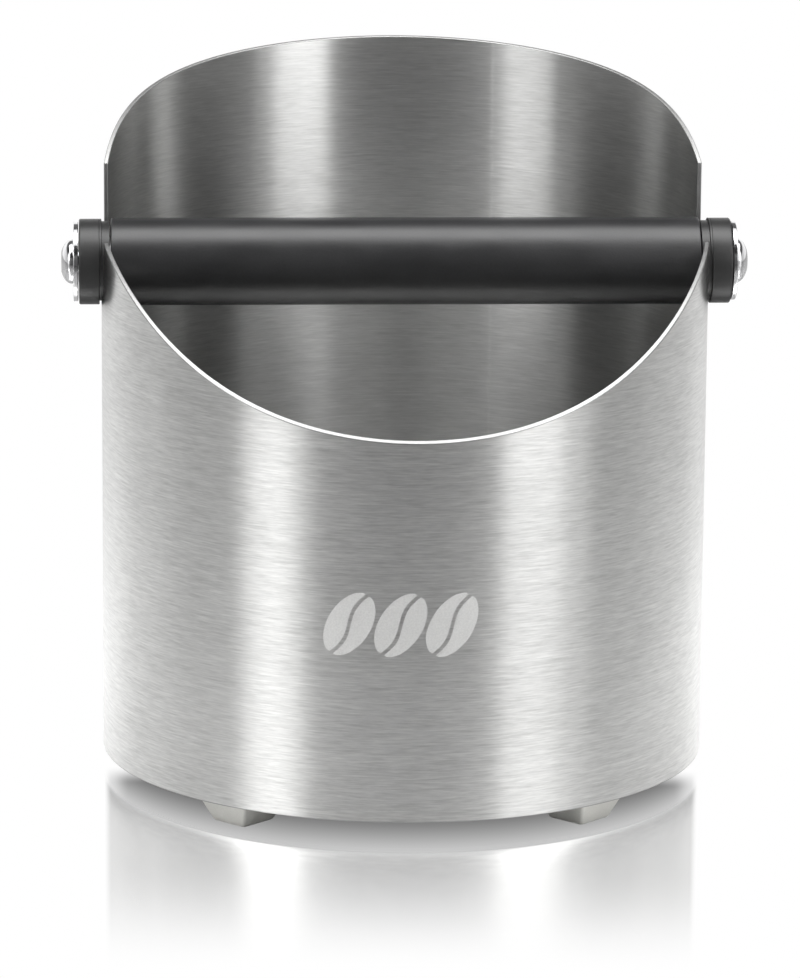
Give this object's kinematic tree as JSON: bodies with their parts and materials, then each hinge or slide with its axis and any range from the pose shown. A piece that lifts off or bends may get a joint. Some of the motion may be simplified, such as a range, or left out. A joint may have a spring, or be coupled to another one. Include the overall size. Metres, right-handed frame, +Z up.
{
  "type": "espresso knock box",
  "caption": "Open steel cylinder with a high back and low front rim and a lift-out rubber-covered knock bar across it, for emptying spent coffee pucks.",
  "frame": {"origin": "on the table, under the middle of the round floor", "axes": "+X along the knock bar, -Y towards the low front rim, +Z up"},
  "size_m": [0.1582, 0.14, 0.1627],
  "materials": {
    "brushed_steel": "circumferentially brushed stainless steel",
    "core_steel": "turned steel",
    "chrome": "bright chrome plate",
    "black_rubber": "satin black rubber",
    "foot_rubber": "matt light grey rubber"
  },
  "bodies": {
    "vessel": {"vessel_shell": "brushed_steel", "base_plate": "brushed_steel", "foot_front_left": "foot_rubber", "foot_front_right": "foot_rubber", "foot_back_left": "foot_rubber", "foot_back_right": "foot_rubber"},
    "bar_ends": {"end_bush_left": "black_rubber", "end_bush_right": "black_rubber"},
    "knock_bar": {"bar_core": "core_steel", "bar_sleeve": "black_rubber", "washer_left": "chrome", "washer_right": "chrome", "screw_left": "chrome", "screw_right": "chrome"}
  },
  "joints": [
    {"name": "bar_lift", "type": "slide", "parent": "vessel", "child": "bar_ends", "axis": [0, 0, 1], "range_m": [0, 0.06]},
    {"name": "bar_turn", "type": "hinge", "parent": "bar_ends", "child": "knock_bar", "pos_m": [0, 0, 0.1204], "axis": [1, 0, 0], "continuous": true}
  ]
}
